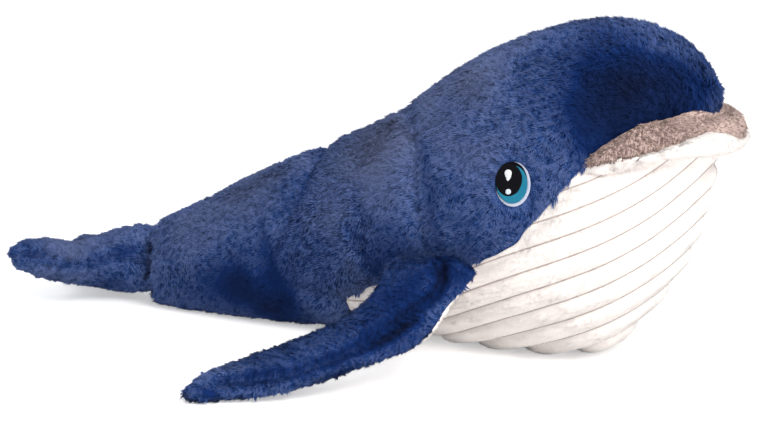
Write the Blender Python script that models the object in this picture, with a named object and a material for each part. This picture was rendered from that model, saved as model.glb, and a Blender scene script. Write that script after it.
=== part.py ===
"""Plush whale: pile-fabric panels sewn round a fibre filling, with two fins and a fluke that hinge at their seams.

The whale lies on the floor, z = 0, with its nose toward +X and its left side toward +Y. One lofted form carries every
piece of the body: each fabric panel is a patch of that form between its seams, and the filling is the same form inside
the fabric. The fins and the fluke are pillows, each with a top panel, an under panel and a filling, and each begins in
a round root on its hinge line.
"""

import functools
import math

import bmesh
import bpy
from mathutils import Matrix, Vector

# Driving sizes in metres, and angles in degrees
BODY_LENGTH = 0.3015
BODY_HEIGHT = 0.1645
BODY_WIDTH = 0.122
TAIL_SETBACK = 0.1258
FLOOR_CUT = 0.0005
FABRIC = 0.006
GAP = 0.0003
SEAM_CLEARANCE = 0.0010
FILLING_CLEARANCE = 0.0023
RIB_PITCH = 0.0108
RIB_DEPTH = 0.0024
LIP_REACH = 0.0125
LIP_CLEARANCE = 0.0017
LIP_CORNER_REACH = 0.0006
LIP_TOP_FULLNESS = 2.0
LIP_RIM_FULLNESS = 1.2
FIN_ROOT = 0.047
FIN_THICKNESS = 0.0220
FIN_SPREAD = 0.098
FIN_SWEEP_BACK = 0.076
FIN_END_DROOP = 2.0
FIN_TWIST = 10.0
FIN_FABRIC = 0.004
FIN_FLOOR_CLEARANCE = 0.0004
FLUKE_ROOT_HEIGHT = 0.036
FLUKE_ROOT_WIDTH = 0.033
FLUKE_SPAN = 0.094
FLUKE_LENGTH = 0.062
FLUKE_THICKNESS = 0.024
FLUKE_LIFT = -0.006
FLUKE_ROLL = 12.0
FLUKE_FABRIC = 0.004
HEM = 0.0012
EYE_WIDTH = 0.0172
EYE_HEIGHT = 0.0212
EYE_TURN = 4.0
EYE_SOCKET = 0.0026
EYE_SOCKET_MARGIN = 0.0006
THREAD = 0.0004
CUT_OVERRUN = 0.003
PANEL_COLUMNS = 9
THROAT_COLUMNS = 9
ROWS_PER_RIB = 3
HEM_STEP = 0.008
SEAM_TURN = 0.001
NOSE_BEND = 3.5

# How the body's sections change from the tail's seam to the front of the head: place along the body's length, then
# top and bottom as shares of its height, half width as a share of its half width, and the level where it is widest
SECTION_SHARES = (
    (0.000, 0.258, 0.034, 0.262, 0.147),
    (0.033, 0.284, 0.005, 0.311, 0.153),
    (0.103, 0.342, 0.000, 0.393, 0.172),
    (0.186, 0.429, 0.000, 0.492, 0.202),
    (0.269, 0.505, 0.000, 0.590, 0.239),
    (0.352, 0.577, 0.006, 0.672, 0.276),
    (0.434, 0.646, 0.018, 0.754, 0.313),
    (0.517, 0.754, 0.016, 0.852, 0.344),
    (0.600, 0.860, 0.001, 0.951, 0.368),
    (0.683, 0.935, 0.000, 1.000, 0.387),
    (0.766, 0.984, 0.004, 1.000, 0.405),
    (0.833, 1.000, 0.028, 0.970, 0.436),
    (0.889, 0.982, 0.106, 0.885, 0.491),
    (0.932, 0.952, 0.212, 0.770, 0.558),
    (0.965, 0.902, 0.320, 0.610, 0.620),
    (0.985, 0.846, 0.420, 0.430, 0.660),
    (0.995, 0.797, 0.505, 0.260, 0.680),
    (1.000, 0.687, 0.687, 0.000, 0.687),
)
CROWN_ROUNDNESS = 2.2
BELLY_ROUNDNESS = 2.15

# Seams in side view, as shares of the body's length and height
HEM_SHARES = (
    (0.411, 0.125), (0.450, 0.165), (0.484, 0.200), (0.534, 0.246), (0.600, 0.295), (0.667, 0.346),
    (0.700, 0.374), (0.733, 0.423), (0.766, 0.485), (0.799, 0.564), (0.836, 0.644),
)
MOUTH_SHARES = (
    (0.836, 0.655), (0.872, 0.681), (0.909, 0.699), (0.945, 0.736), (0.972, 0.762), (0.990, 0.755), (0.9960, 0.742),
)
LIP_EDGE_SHARES = (
    (0.836, 0.644), (0.872, 0.653), (0.909, 0.660), (0.935, 0.674), (0.962, 0.684), (0.985, 0.680), (0.9985, 0.672),
)
# How far round the mouth the lip starts, clear of the seams' corner
LIP_START_SHARE = 0.025
CREASE_SHARES = (
    (0.836, 0.633), (0.872, 0.633), (0.909, 0.638), (0.935, 0.648), (0.962, 0.648), (0.985, 0.632), (0.9980, 0.615),
)
# Seams round the body: turn from the top as a share of the way down to the white fabric, then place along the length
TAIL_SEAM_SHARES = (
    (0.00, 0.342), (0.36, 0.335), (0.54, 0.315), (0.69, 0.280), (0.80, 0.279), (0.90, 0.312), (1.00, 0.411),
)
NECK_SEAM_SHARES = ((0.00, 0.481), (0.25, 0.524), (0.47, 0.551), (0.67, 0.564), (0.83, 0.582), (1.00, 0.600))
# Columns of the tail's underside, as shares of the turn from its seam to the middle
UNDER_TURN_SHARES = (0.28, 0.56, 0.84, 1.00)
# The ribs' slope in side view: a rib that passes the tail end of the white panel at this level climbs like this
RIB_CLIMB_SHARES = (
    (0.400, 0.060), (0.650, 0.239), (0.716, 0.288), (0.786, 0.350), (0.846, 0.399), (0.899, 0.448), (0.939, 0.497),
    (0.982, 0.564), (1.000, 0.610),
)
FIN_ROOT_REAR_SHARES = (0.515, 0.270)
FIN_ROOT_FRONT_SHARES = (0.670, 0.340)
FIN_CHORD_SHARES = ((0.00, 1.00), (0.20, 0.86), (0.45, 0.80), (0.70, 0.84), (0.85, 0.76), (0.94, 0.60), (1.00, 0.26))
FIN_SWELL_SHARES = ((0.00, 1.00), (0.25, 0.92), (0.55, 0.82), (0.80, 0.74), (0.93, 0.56), (1.00, 0.16))
# The fluke's outline for half its span: place across, then leading and trailing edge as shares of its length
FLUKE_EDGE_SHARES = (
    (0.00, 0.00, 0.70), (0.14, 0.00, 0.78), (0.28, 0.06, 0.88), (0.42, 0.20, 0.95), (0.58, 0.37, 1.00),
    (0.74, 0.54, 1.01), (0.88, 0.69, 0.99), (0.97, 0.81, 0.95), (1.00, 0.87, 0.90),
)
EYE_PLACE_SHARES = (0.7225, 0.571)
# Each eye's stitched layers: shift forward and up, then width and height, as shares of the eye's own
EYE_LAYER_SHARES = {
    "white": (0.00, 0.00, 1.00, 1.00),
    "lash": (-0.045, 0.040, 0.92, 0.92),
    "iris": (-0.015, -0.015, 0.86, 0.81),
    "pupil": (-0.10, 0.075, 0.76, 0.74),
}
GLINT_SHARES = {"glint_upper": (-0.13, 0.19, 0.20, 0.22), "glint_lower": (-0.13, -0.19, 0.17, 0.12)}

COLOURS = {
    "blue_pile": ((0.050, 0.085, 0.240), 0.95),
    "white_pile": ((0.83, 0.76, 0.73), 0.95),
    "taupe_pile": ((0.250, 0.195, 0.180), 0.95),
    "filling": ((0.86, 0.86, 0.84), 1.0),
    "white_thread": ((0.78, 0.82, 0.90), 0.45),
    "black_thread": ((0.010, 0.010, 0.014), 0.40),
    "teal_thread": ((0.020, 0.200, 0.330), 0.40),
}


def clear_scene():
    for old in list(bpy.data.objects):
        bpy.data.objects.remove(old, do_unlink=True)


def material(name):
    """The named material, made once."""
    found = bpy.data.materials.get(name)
    if found:
        return found
    colour, roughness = COLOURS[name]
    made = bpy.data.materials.new(name)
    made.use_nodes = True
    shader = made.node_tree.nodes["Principled BSDF"]
    shader.inputs["Base Color"].default_value = (*colour, 1.0)
    shader.inputs["Roughness"].default_value = roughness
    shader.inputs["Metallic"].default_value = 0.0
    made.diffuse_color = (*colour, 1.0)
    return made


def add_solid(name, shape, surface, parent=None):
    """Makes one closed piece out of a bmesh, with its faces outward, under its hinge if it has one."""
    bmesh.ops.remove_doubles(shape, verts=shape.verts, dist=GAP / 100)
    bmesh.ops.dissolve_degenerate(shape, edges=shape.edges, dist=GAP / 100)
    bmesh.ops.triangulate(shape, faces=shape.faces)
    bmesh.ops.recalc_face_normals(shape, faces=shape.faces)
    if parent:
        bmesh.ops.transform(shape, matrix=Matrix.Translation(-parent.location), verts=shape.verts)
    mesh = bpy.data.meshes.new(name)
    shape.to_mesh(mesh)
    shape.free()
    mesh.materials.append(material(surface))
    piece = bpy.data.objects.new(name, mesh)
    bpy.context.collection.objects.link(piece)
    piece.parent = parent
    return piece


def add_hinge(name, place):
    hinge = bpy.data.objects.new(name, None)
    hinge.location = place
    bpy.context.collection.objects.link(hinge)
    return hinge


def eased(table, place):
    """Reads a table of shares at one place, easing from each row to the next."""
    if place <= table[0][0]:
        return table[0][1:]
    for low, high in zip(table, table[1:]):
        if place <= high[0]:
            part = (place - low[0]) / (high[0] - low[0])
            return tuple(a + (b - a) * part for a, b in zip(low[1:], high[1:]))
    return table[-1][1:]


def between(low, high, part):
    return low + (high - low) * part


# The body's form


def section(place):
    """The body's section at a place counted in rows of its table: x, top, bottom, half width and widest level."""
    last = len(SECTION_SHARES) - 1
    first = max(0, min(last - 1, math.floor(place)))
    part = place - first
    rows = [SECTION_SHARES[max(0, min(last, first + step))] for step in (-1, 0, 1, 2)]
    value = []
    for before, low, high, after in zip(*rows):
        leave = (high - before) / 2
        arrive = (after - low) / 2
        value.append(
            (2 * part**3 - 3 * part**2 + 1) * low + (part**3 - 2 * part**2 + part) * leave
            + (3 * part**2 - 2 * part**3) * high + (part**3 - part**2) * arrive
        )
    along, top, bottom, half, widest = value
    return (
        along * BODY_LENGTH - TAIL_SETBACK, top * BODY_HEIGHT, bottom * BODY_HEIGHT - FLOOR_CUT,
        half * BODY_WIDTH / 2, widest * BODY_HEIGHT,
    )


@functools.lru_cache(maxsize=None)
def row_at(along):
    """The place in the section table that lies at a share of the body's length."""
    low, high = 0.0, len(SECTION_SHARES) - 1.0
    for _ in range(40):
        middle = (low + high) / 2
        if (section(middle)[0] + TAIL_SETBACK) / BODY_LENGTH < along:
            low = middle
        else:
            high = middle
    return (low + high) / 2


def turn_at(place, level):
    """The turn from the top, in radians, at which a section reaches a level."""
    _, top, bottom, _, widest = section(place)
    if level >= widest:
        rise = min(1.0, (level - widest) / max(top - widest, GAP))
        power = CROWN_ROUNDNESS
    else:
        rise = -min(1.0, (widest - level) / max(widest - bottom, GAP))
        power = BELLY_ROUNDNESS
    side = (1 - abs(rise) ** power) ** (1 / power)
    return math.atan2(side, rise)


def on_form(place, turn, inset=0.0):
    """A point of the body's form, or one that far inside it. A turn is positive toward the whale's left."""
    x, top, bottom, half, widest = section(place)
    across, up = math.sin(turn), math.cos(turn)
    power = CROWN_ROUNDNESS if up >= 0 else BELLY_ROUNDNESS
    reach = (abs(across) ** power + abs(up) ** power) ** (-1 / power)
    height = top - widest if up >= 0 else widest - bottom
    point = Vector((x, half * reach * across, widest + height * reach * up))
    if inset:
        point -= outward(place, turn) * inset
    return point


def outward(place, turn):
    """The form's outward direction at a point."""
    step = 0.02
    last = len(SECTION_SHARES) - 1
    ahead = on_form(min(last, place + step), turn) - on_form(max(0, place - step), turn)
    around = on_form(place, turn + step) - on_form(place, turn - step)
    facing = ahead.cross(around)
    return facing.normalized() if facing.length > 0 else Vector((1, 0, 0))


def above_floor(point):
    """Cuts the form flat where it meets the floor."""
    return Vector((point.x, point.y, max(point.z, 0.0)))


@functools.lru_cache(maxsize=None)
def seam_end(shares):
    """Where a seam given in side view meets the middle plane at the nose, as a share of the body's length."""
    low, high = shares[0][0], 1.0
    for _ in range(30):
        middle = (low + high) / 2
        _, top, bottom, _, _ = section(row_at(middle))
        inside = bottom < eased(shares, middle)[0] * BODY_HEIGHT < top
        low, high = (middle, high) if inside else (low, middle)
    return low


def side_seam(shares, part, shift=0.0):
    """A seam given in side view: its place and turn at a part of its run, moved up by a shift."""
    along = between(shares[0][0], seam_end(shares), part)
    place = row_at(along)
    level = eased(shares, along)[0] * BODY_HEIGHT + shift
    return place, turn_at(place, level)


def apart(place, turn, toward):
    """Moves a spot off a seam along the body by half the clearance between two panels."""
    step = 0.05
    pace = (on_form(place + step, turn) - on_form(place - step, turn)).length / (2 * step)
    return place + toward * SEAM_CLEARANCE / 2 / pace, turn


def hem_spot(along):
    """The lower edge of the blue fabric at a place along the body, behind the mouth's corner."""
    place = row_at(along)
    return place, turn_at(place, eased(HEM_SHARES, along)[0] * BODY_HEIGHT + SEAM_CLEARANCE / 2)


def round_seam(shares, part):
    """A seam round the body, at a part of its run from the top down to the white fabric."""
    along = eased(shares, part)[0]
    _, low_turn = hem_spot(shares[-1][1])
    return row_at(along), part * low_turn


# Fabric panels of the body


def skin(grid, closed_round, inset=FABRIC):
    """A panel of fabric from a grid of places and turns, with the form outside and its thickness inside."""
    shape = bmesh.new()
    outer = [[shape.verts.new(above_floor(on_form(*spot))) for spot in row] for row in grid]
    inner = [[shape.verts.new(on_form(*spot, inset)) for spot in row] for row in grid]
    columns = len(grid[0])
    steps = range(columns) if closed_round else range(columns - 1)
    for row in range(len(grid) - 1):
        for column in steps:
            after = (column + 1) % columns
            for sheet in (outer, inner):
                shape.faces.new((sheet[row][column], sheet[row][after], sheet[row + 1][after], sheet[row + 1][column]))
        if not closed_round:
            for column in (0, -1):
                shape.faces.new(
                    (outer[row][column], outer[row + 1][column], inner[row + 1][column], inner[row][column])
                )
    for row in (0, -1):
        for column in steps:
            after = (column + 1) % columns
            shape.faces.new((outer[row][column], outer[row][after], inner[row][after], inner[row][column]))
    return shape


def patch(rear, front, crown, hem, rows, columns, bend=1.0):
    """A grid between four seams, each a function from a part of its run to a place and a turn, mirrored across.

    A bend over one keeps the turns of the rear seam for longer, where the front seam lies round the nose.
    """
    grid = []
    for row in range(rows + 1):
        u = row / rows
        line = []
        for column in range(columns + 1):
            v = column / columns
            spot = []
            for which, weight in ((0, u), (1, u**bend)):
                along = between(crown(u)[which], hem(u)[which], v)
                across = between(rear(v)[which], front(v)[which], weight)
                corners = between(
                    between(rear(0)[which], rear(1)[which], v), between(front(0)[which], front(1)[which], v), weight
                )
                spot.append(along + across - corners)
            line.append(tuple(spot))
        grid.append([(place, -turn) for place, turn in reversed(line[1:])] + line)
    return grid


def rim_row():
    """The section where the tail's fabric ends, clear of the fluke's round root."""
    radius = FLUKE_ROOT_HEIGHT / 2 + 2 * SEAM_CLEARANCE
    axis = fluke_axis()
    low, high = 0.0, 2.0
    for _ in range(30):
        middle = (low + high) / 2
        reach = min(
            math.hypot(spot.x - axis.x, spot.z - axis.z)
            for spot in (on_form(middle, turn, FABRIC) for turn in (0.0, math.pi))
        )
        if reach < radius:
            low = middle
        else:
            high = middle
    return high


def fluke_axis():
    _, top, bottom, _, _ = section(0.0)
    return Vector((-TAIL_SETBACK, 0.0, (top + bottom) / 2))


def tail_skin():
    """The blue tube behind the body panel and the white panel."""
    rows = 6
    start = rim_row()
    edge = [apart(*round_seam(TAIL_SEAM_SHARES, column / PANEL_COLUMNS), -1) for column in range(PANEL_COLUMNS + 1)]
    place, turn = edge[PANEL_COLUMNS]
    edge += [(place, between(turn, math.pi, share)) for share in UNDER_TURN_SHARES]
    edge = [(place, -turn) for place, turn in reversed(edge[1:-1])] + edge
    grid = [[(between(start, place, row / rows), turn) for place, turn in edge] for row in range(rows + 1)]
    add_solid("tail_skin", skin(grid, True), "blue_pile")


def body_skin():
    """The blue saddle between the tail and the neck's seam."""
    first, last = TAIL_SEAM_SHARES[-1][1], NECK_SEAM_SHARES[-1][1]

    def rear(part):
        return apart(*round_seam(TAIL_SEAM_SHARES, part), 1)

    def front(part):
        return apart(*round_seam(NECK_SEAM_SHARES, part), -1)

    def crown(part):
        return between(rear(0)[0], front(0)[0], part), 0.0

    def hem(part):
        if part in (0, 1):
            return rear(1) if part == 0 else front(1)
        return hem_spot(between(first, last, part))

    add_solid("body_skin", skin(patch(rear, front, crown, hem, 6, PANEL_COLUMNS), False), "blue_pile")


def mouth_run(way):
    """How far forward a part of the way round the mouth lies, from its corner to the middle of the nose."""
    return math.sin(way * math.pi / 2)


def head_skin():
    """The blue dome from the neck's seam to the mouth."""
    first, last = NECK_SEAM_SHARES[-1][1], HEM_SHARES[-1][0]

    def rear(part):
        return apart(*round_seam(NECK_SEAM_SHARES, part), 1)

    def front(part):
        """The mouth's line from the middle of the nose back to its corner."""
        place, turn = side_seam(MOUTH_SHARES, mouth_run(1 - part), SEAM_CLEARANCE / 2)
        return place, turn if part > 0 else 0.0

    def crown(part):
        return between(rear(0)[0], front(0)[0], part), 0.0

    def hem(part):
        if part in (0, 1):
            return rear(1) if part == 0 else front(1)
        return hem_spot(between(first, last, part))

    grid = patch(rear, front, crown, hem, 12, PANEL_COLUMNS, NOSE_BEND)
    return add_solid("head_skin", skin(grid, False), "blue_pile")


# The ribbed throat


def throat_top(along):
    """The level where the white panel ends: at the blue fabric, or under the lip."""
    shares = HEM_SHARES if along <= HEM_SHARES[-1][0] else CREASE_SHARES
    return eased(shares, along)[0] * BODY_HEIGHT - SEAM_CLEARANCE / 2


def throat_ends():
    """How far the white panel reaches along the body, as shares of its length."""
    return HEM_SHARES[0][0] + SEAM_CLEARANCE / 2 / BODY_LENGTH, seam_end(CREASE_SHARES)


def rib_level(along):
    """A level that climbs with the ribs. The ribs lie at whole pitches over and under it."""
    return eased(RIB_CLIMB_SHARES, along)[0] * BODY_HEIGHT


def rib_run(height):
    """The stretch of the body's length, as shares, in which the white panel holds a line this high over the ribs."""
    steps = 160
    rear, front = throat_ends()

    def inside(along):
        level = rib_level(along) + height
        return section(row_at(along))[2] <= level <= throat_top(along)

    def crossing(low, high):
        """Where the line leaves the panel, between a place outside it and one inside it."""
        for _ in range(24):
            middle = (low + high) / 2
            low, high = (low, middle) if inside(middle) else (middle, high)
        return high

    places = [between(rear, front, step / steps) for step in range(steps + 1)]
    places = sorted(places + [HEM_SHARES[-1][0]])
    held = [index for index, place in enumerate(places) if inside(place)]
    first, last = held[0], held[-1]
    start = rear if first == 0 else crossing(places[first - 1], places[first])
    end = front if last == len(places) - 1 else crossing(places[last + 1], places[last])
    return start, end


def rib_line(height):
    """Spots on the form's right side at one height over the ribs, in even steps from tail to nose."""
    steps = 48
    start, end = rib_run(height)
    fine = []
    for step in range(steps + 1):
        along = between(start, end, (1 - math.cos(math.pi * step / steps)) / 2)
        place = row_at(along)
        fine.append((place, turn_at(place, rib_level(along) + height)))
    points = [on_form(*spot) for spot in fine]
    lengths = [0.0]
    for low, high in zip(points, points[1:]):
        lengths.append(lengths[-1] + (high - low).length)
    on_floor = [length for length, point in zip(lengths, points) if point.z < 0]
    floor_length = on_floor[-1] if on_floor else 0.0
    line = []
    index = 0
    for column in range(THROAT_COLUMNS + 1):
        target = lengths[-1] * column / THROAT_COLUMNS
        if floor_length > 0 and column > 0:
            target = between(floor_length, lengths[-1], (column - 1) / (THROAT_COLUMNS - 1))
        while index < steps - 1 and lengths[index + 1] < target:
            index += 1
        part = (target - lengths[index]) / max(lengths[index + 1] - lengths[index], THREAD / 100)
        part = max(0.0, min(1.0, part))
        line.append(tuple(between(low, high, part) for low, high in zip(fine[index], fine[index + 1])))
    line[0], line[-1] = fine[0], fine[-1]
    return line


def rib_heights():
    """The heights of the panel's rows of spots over the ribs' level, and whether the lining has each row too."""
    steps = 200
    rear, front = throat_ends()
    places = [between(rear, front, step / steps) for step in range(steps + 1)]
    lowest = min(section(row_at(along))[2] - rib_level(along) for along in places)
    highest = throat_top(HEM_SHARES[-1][0]) - rib_level(HEM_SHARES[-1][0])
    rear_corner = section(row_at(rear))[2] - rib_level(rear)
    front_corner = throat_top(front) - rib_level(front)
    spacing = RIB_PITCH / ROWS_PER_RIB
    kept = [lowest + 2 * GAP, rear_corner, front_corner, highest - GAP]
    rows = [(height, True) for height in kept]
    for count in range(math.ceil(lowest / spacing), math.floor(highest / spacing) + 1):
        height = count * spacing
        if min(abs(height - other) for other in kept) > spacing / 3:
            rows.append((height, count % ROWS_PER_RIB == 0))
    rows.sort()
    extra = []
    for (low, _), (high, _) in zip(rows, rows[1:]):
        start, end = rib_run(low)[0], rib_run(high)[0]
        count = math.ceil((end - start) * BODY_LENGTH / HEM_STEP) if start > rear else 1
        for step in range(1, count):
            along = between(start, end, step / count)
            extra.append((throat_top(along) - rib_level(along), True))
    return sorted(rows + extra)


def groove_depth(height):
    """How deep the seam between two ribs is pressed in, at a height over the ribs' level."""
    off_seam = abs(height / RIB_PITCH - round(height / RIB_PITCH))
    return RIB_DEPTH * max(0.0, 1 - off_seam * ROWS_PER_RIB)


def throat_panel():
    """The white panel from the hem to the lip, quilted into ribs that climb toward the mouth."""
    shape = bmesh.new()
    rows = rib_heights()
    lines = [(rib_line(height), groove_depth(height), lined) for height, lined in rows]
    lowest = []
    for side in (-1, 1):
        outer, inner = [], []
        for line, depth, lined in lines:
            spots = [(place, side * turn) for place, turn in line]
            outer.append([shape.verts.new(above_floor(on_form(*spot, depth))) for spot in spots])
            inner.append([shape.verts.new(on_form(*spot, FABRIC)) for spot in spots] if lined else None)
        lined_rows = [row for row, line in enumerate(inner) if line]
        sheets = [(outer, list(range(len(lines)))), (inner, lined_rows)]
        for sheet, order in sheets:
            for low, high in zip(order, order[1:]):
                for column in range(THROAT_COLUMNS):
                    shape.faces.new((sheet[low][column], sheet[low][column + 1], sheet[high][column + 1],
                                     sheet[high][column]))
        for low, high in zip(lined_rows, lined_rows[1:]):
            for column, middle in ((0, math.pi), (-1, math.pi)):
                if abs(lines[high][0][column][1]) < middle - SEAM_TURN:
                    edge = [outer[row][column] for row in range(low, high + 1)]
                    shape.faces.new(edge + [inner[high][column], inner[low][column]])
        shape.faces.new(outer[-1] + inner[-1][::-1])
        lowest.append((outer[0], inner[0]))
    for right, left in zip(*lowest):
        shape.faces.new(right + left[::-1])
    bmesh.ops.remove_doubles(shape, verts=shape.verts, dist=GAP / 10)
    add_solid("throat_panel", shape, "white_pile")


def body_filling():
    """Fibre inside the fabric: the form itself, one fabric thickness and one gap in."""
    rows = 22
    columns = 16
    depth = FABRIC + GAP + FILLING_CLEARANCE
    last = len(SECTION_SHARES) - 1
    axis = fluke_axis()
    start = row_at((FLUKE_ROOT_HEIGHT / 2 + GAP) / BODY_LENGTH)
    shape = bmesh.new()
    rings = []
    for row in range(rows):
        place = between(start, last - 1.3, row / (rows - 1))
        ring = []
        for column in range(columns):
            turn = math.tau * column / columns
            point = on_form(place, turn, depth)
            if row == 0:
                point.x = axis.x + FLUKE_ROOT_HEIGHT / 2 + GAP
            ring.append(shape.verts.new(point))
        rings.append(ring)
    for low, high in zip(rings, rings[1:]):
        for column in range(columns):
            after = (column + 1) % columns
            shape.faces.new((low[column], low[after], high[after], high[column]))
    for ring in (rings[0], rings[-1]):
        shape.faces.new(ring)
    add_solid("body_filling", shape, "filling")


# The lip


def lip_piece(name, upper, surface):
    """One half of the lip, swept round the mouth: the lining on top, or the rim under it."""
    arc = 5
    sign = 1 if upper else -1
    fullness = LIP_TOP_FULLNESS if upper else LIP_RIM_FULLNESS
    shape = bmesh.new()
    rings = []
    for station in range(-PANEL_COLUMNS, PANEL_COLUMNS + 1):
        way = max(LIP_START_SHARE, 1 - abs(station) / PANEL_COLUMNS)
        side = -1 if station < 0 else 1
        spots = []
        for shares in (MOUTH_SHARES, LIP_EDGE_SHARES, CREASE_SHARES):
            place, turn = side_seam(shares, mouth_run(way))
            if station == 0:
                turn = 0.0 if shares is MOUTH_SHARES else math.pi
            spots.append((place, side * turn))
        mouth, edge, crease = spots
        bound = mouth if upper else crease
        lift = Vector((0, 0, sign * GAP / 2))
        clear = Vector((0, 0, sign * LIP_CLEARANCE))
        back = on_form(*bound) - clear
        deep = on_form(*bound, FABRIC) - clear
        middle = on_form(*edge)
        flat = outward(*edge)
        flat = Vector((flat.x, flat.y, 0.0)).normalized()
        tip = middle + flat * between(LIP_CORNER_REACH, LIP_REACH, math.sin(way * math.pi / 2) ** 0.8) + lift
        root = (on_form(*mouth, FABRIC) + on_form(*crease, FABRIC)) / 2 + lift
        ring = [root, tip]
        for step in range(1, arc):
            angle = step / arc * math.pi / 2
            ring.append(back + (tip - back) * math.cos(angle) ** fullness)
            ring[-1].z = tip.z + (back.z - tip.z) * math.sin(angle) ** fullness
        rings.append([shape.verts.new(point) for point in ring + [back, deep]])
    count = len(rings[0])
    for low, high in zip(rings, rings[1:]):
        for index in range(count):
            after = (index + 1) % count
            shape.faces.new((low[index], low[after], high[after], high[index]))
    for ring in (rings[0], rings[-1]):
        shape.faces.new(ring)
    add_solid(name, shape, surface)


# Pillows: the fins and the fluke


def pillow(names, surfaces, rows, columns, spot, fabric, hinge):
    """A stuffed limb: a top panel, an under panel and a filling, all from one spot function.

    The function gives, for parts along and across the limb, a point of its middle sheet, the sheet's upward
    direction and the limb's half thickness there.
    """
    top, under, filling = names

    def sheet(shape, heights):
        made = []
        for row in range(rows + 1):
            line = []
            for column in range(columns + 1):
                point, up, half = spot(row / rows, column / columns)
                line.append(shape.verts.new(point + up * heights(half)))
            made.append(line)
        return made

    def closed(shape, high, low):
        for row in range(rows):
            for column in range(columns):
                for side in (high, low):
                    shape.faces.new((side[row][column], side[row][column + 1], side[row + 1][column + 1],
                                     side[row + 1][column]))
        rim = [(row, 0) for row in range(rows)] + [(rows, column) for column in range(columns)]
        rim += [(row, columns) for row in range(rows, 0, -1)] + [(0, column) for column in range(columns, 0, -1)]
        for (row, column), (next_row, next_column) in zip(rim, rim[1:] + rim[:1]):
            shape.faces.new((high[row][column], high[next_row][next_column], low[next_row][next_column],
                             low[row][column]))

    for name, sign, surface in ((top, 1, surfaces[0]), (under, -1, surfaces[1])):
        shape = bmesh.new()
        outer = sheet(shape, lambda half: sign * max(half, HEM))
        inner = sheet(shape, lambda half: sign * max(half - fabric, GAP / 2))
        closed(shape, outer, inner)
        add_solid(name, shape, surface, hinge)
    shape = bmesh.new()
    thin = GAP / 4
    closed(
        shape,
        sheet(shape, lambda half: max(half - fabric - GAP, thin)),
        sheet(shape, lambda half: -max(half - fabric - GAP, thin)),
    )
    add_solid(filling, shape, surfaces[2], hinge)


def fin_root(side):
    """The fin's hinge line: its middle, its direction toward the nose, and the way out from the body."""
    ends = []
    for along, level in (FIN_ROOT_REAR_SHARES, FIN_ROOT_FRONT_SHARES):
        place = row_at(along)
        ends.append(on_form(place, side * turn_at(place, level * BODY_HEIGHT)))
    rear, front = ends
    forward = (front - rear).normalized()
    out = Vector((0, side, 0))
    out = (out - forward * out.dot(forward)).normalized()
    bulge = 0.0
    for step in range(1, 8):
        along = between(FIN_ROOT_REAR_SHARES[0], FIN_ROOT_FRONT_SHARES[0], step / 8)
        for level in (0.20, 0.25, 0.30, 0.35):
            place = row_at(along)
            point = on_form(place, side * turn_at(place, level * BODY_HEIGHT))
            bulge = max(bulge, (point - rear).dot(out))
    middle = (rear + front) / 2 + out * (bulge + GAP + FIN_THICKNESS / 2)
    return middle, forward, out


def fin_droop(start, part):
    """The fin's slope at a part of its reach: steep beside the body, then nearly flat."""
    return math.radians(between(start, FIN_END_DROOP, 1 - (1 - part) ** 3.2))


def fin_spot(frame, start, row_part, column_part):
    """A spot of the fin's middle sheet, the sheet's upward direction, and the half thickness there."""
    middle, forward, out, up = frame
    radius = FIN_THICKNESS / 2
    across = 2 * column_part - 1
    round_off = (1 - abs(across) ** 2.6) ** (1 / 2.6)
    reach = between(-radius, FIN_SPREAD, row_part**1.25)
    if reach <= 0:
        droop = fin_droop(start, 0.0)
        path = Vector((math.cos(droop), -math.sin(droop))) * reach * round_off
        half = (radius**2 - reach**2) ** 0.5 * round_off
        return middle + out * path.x + up * path.y + forward * across * FIN_ROOT / 2, droop, half
    part = reach / FIN_SPREAD
    steps = 20
    path = Vector((0.0, 0.0))
    for step in range(steps):
        droop = fin_droop(start, part * (step + 0.5) / steps)
        path += Vector((math.cos(droop), -math.sin(droop))) * reach / steps
    droop = fin_droop(start, part)
    chord = across * FIN_ROOT / 2 * eased(FIN_CHORD_SHARES, part)[0]
    twist = math.tan(math.radians(FIN_TWIST)) * math.sin(math.pi / 2 * min(1.0, 2 * part))
    point = middle + out * path.x + up * (path.y - chord * twist)
    point += forward * (chord - FIN_SWEEP_BACK * part**1.45)
    return point, droop, radius * eased(FIN_SWELL_SHARES, part)[0] * round_off


def fin(side, word):
    rows = 10
    columns = 6
    middle, forward, out = fin_root(side)
    frame = (middle, forward, out, forward.cross(out) * side)
    hinge = add_hinge(word + "_fin_hinge", middle)

    def sheet(start):
        """The fin's spots when it leaves the body at a start slope."""

        def spot(row_part, column_part):
            point, droop, half = fin_spot(frame, start, row_part, column_part)
            return point, frame[2] * math.sin(droop) + frame[3] * math.cos(droop), half

        return spot

    low, high = FIN_END_DROOP, 90.0
    for _ in range(24):
        start = (low + high) / 2
        spot = sheet(start)
        lowest = math.inf
        for row in range(rows + 1):
            for column in range(columns + 1):
                point, up, half = spot(row / rows, column / columns)
                lowest = min(lowest, point.z - up.z * max(half, HEM))
        low, high = (start, high) if lowest > FIN_FLOOR_CLEARANCE else (low, start)
    pillow(
        (word + "_fin_top", word + "_fin_under", word + "_fin_filling"), ("blue_pile", "white_pile", "filling"),
        rows, columns, sheet(low), FIN_FABRIC, hinge,
    )


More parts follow.
